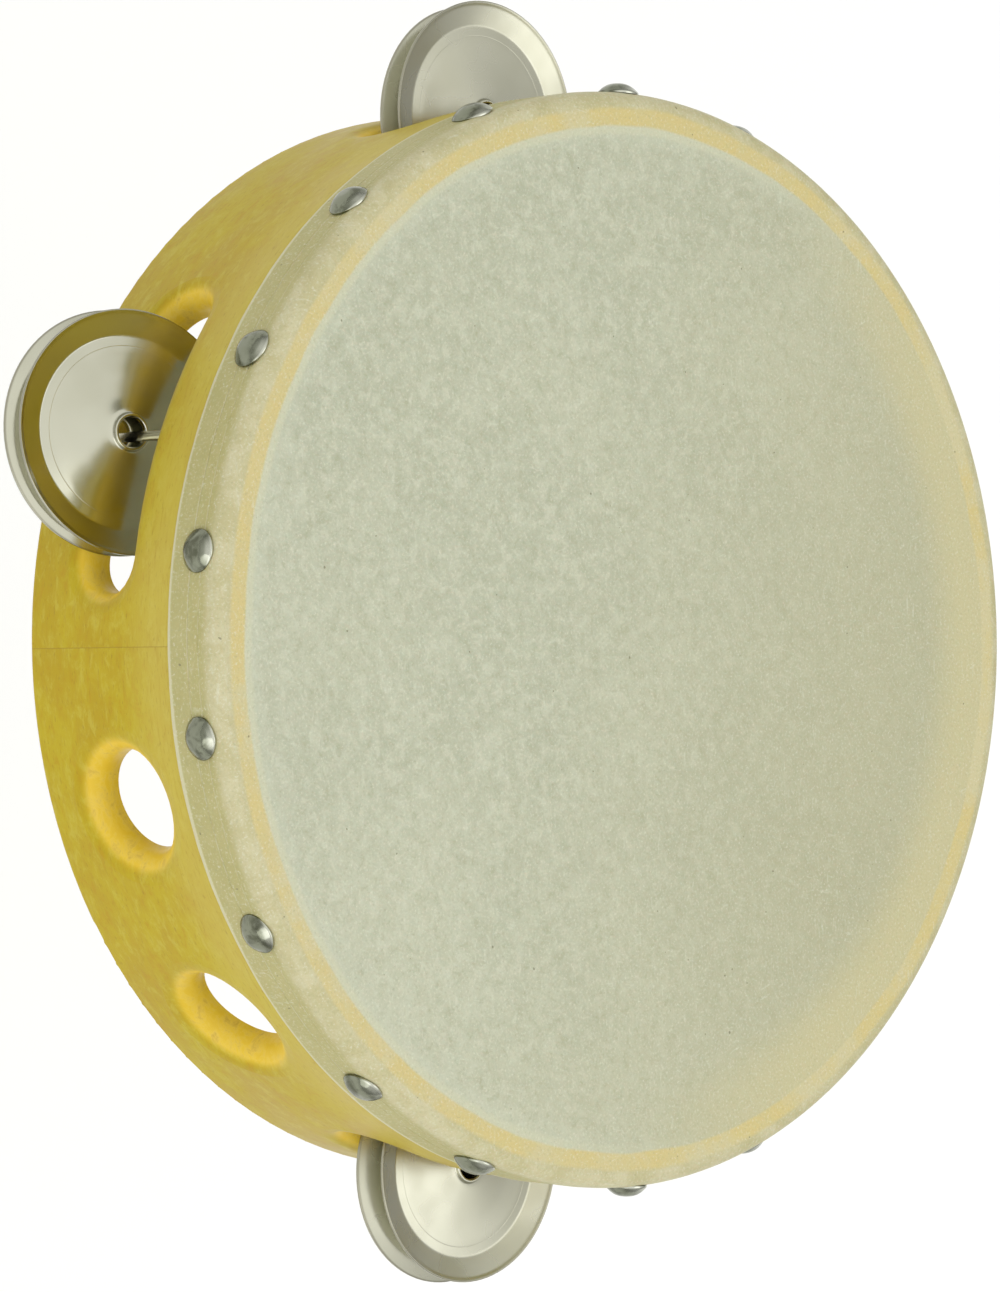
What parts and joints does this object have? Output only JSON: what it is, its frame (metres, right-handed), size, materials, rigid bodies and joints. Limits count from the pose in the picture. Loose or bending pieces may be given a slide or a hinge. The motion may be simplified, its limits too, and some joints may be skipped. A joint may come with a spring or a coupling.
{
  "type": "tambourine",
  "caption": "Round wooden hand drum with a tacked skin head, loose metal jingles on pins in slots through its hoop, and two finger holes at the grip.",
  "frame": {"origin": "centre of the open rear rim, in the plane that the hoop rests on", "axes": "+Z along the drum's axis from the open rear rim to the skin head; -Y from the axis to the middle of the grip, between the two finger holes"},
  "size_m": [0.2256, 0.2267, 0.0531],
  "materials": {
    "lacquered_wood": "thin translucent yellow lacquer over pale bent wood",
    "skin": "natural translucent drum skin, satin",
    "tack_steel": "polished, slightly tarnished domed heads",
    "pin_steel": "bright drawn wire",
    "jingle_nickel": "nickel plate, turned and lightly brushed"
  },
  "bodies": {
    "frame": {"hoop": "lacquered_wood", "skin_head": "skin", "head_tacks": "tack_steel", "jingle_pin_1": "pin_steel", "jingle_pin_2": "pin_steel", "jingle_pin_3": "pin_steel", "jingle_pin_4": "pin_steel", "jingle_pin_5": "pin_steel"},
    "jingle_1_upper": {"jingle_1_upper": "jingle_nickel"},
    "jingle_1_lower": {"jingle_1_lower": "jingle_nickel"},
    "jingle_2_upper": {"jingle_2_upper": "jingle_nickel"},
    "jingle_2_lower": {"jingle_2_lower": "jingle_nickel"},
    "jingle_3_upper": {"jingle_3_upper": "jingle_nickel"},
    "jingle_3_lower": {"jingle_3_lower": "jingle_nickel"},
    "jingle_4_upper": {"jingle_4_upper": "jingle_nickel"},
    "jingle_4_lower": {"jingle_4_lower": "jingle_nickel"},
    "jingle_5_upper": {"jingle_5_upper": "jingle_nickel"},
    "jingle_5_lower": {"jingle_5_lower": "jingle_nickel"}
  },
  "joints": [
    {"name": "jingle_1_upper_slide", "type": "slide", "parent": "frame", "child": "jingle_1_upper", "axis": [0, 0, 1], "range_m": [-0.0002, 0.0048]},
    {"name": "jingle_1_lower_slide", "type": "slide", "parent": "frame", "child": "jingle_1_lower", "axis": [0, 0, 1], "range_m": [-0.0002, 0.0006]},
    {"name": "jingle_2_upper_slide", "type": "slide", "parent": "frame", "child": "jingle_2_upper", "axis": [0, 0, 1], "range_m": [-0.0002, 0.0048]},
    {"name": "jingle_2_lower_slide", "type": "slide", "parent": "frame", "child": "jingle_2_lower", "axis": [0, 0, 1], "range_m": [-0.0002, 0.0006]},
    {"name": "jingle_3_upper_slide", "type": "slide", "parent": "frame", "child": "jingle_3_upper", "axis": [0, 0, 1], "range_m": [-0.0002, 0.0048]},
    {"name": "jingle_3_lower_slide", "type": "slide", "parent": "frame", "child": "jingle_3_lower", "axis": [0, 0, 1], "range_m": [-0.0002, 0.0006]},
    {"name": "jingle_4_upper_slide", "type": "slide", "parent": "frame", "child": "jingle_4_upper", "axis": [0, 0, 1], "range_m": [-0.0002, 0.0048]},
    {"name": "jingle_4_lower_slide", "type": "slide", "parent": "frame", "child": "jingle_4_lower", "axis": [0, 0, 1], "range_m": [-0.0002, 0.0006]},
    {"name": "jingle_5_upper_slide", "type": "slide", "parent": "frame", "child": "jingle_5_upper", "axis": [0, 0, 1], "range_m": [-0.0002, 0.0048]},
    {"name": "jingle_5_lower_slide", "type": "slide", "parent": "frame", "child": "jingle_5_lower", "axis": [0, 0, 1], "range_m": [-0.0002, 0.0006]}
  ]
}
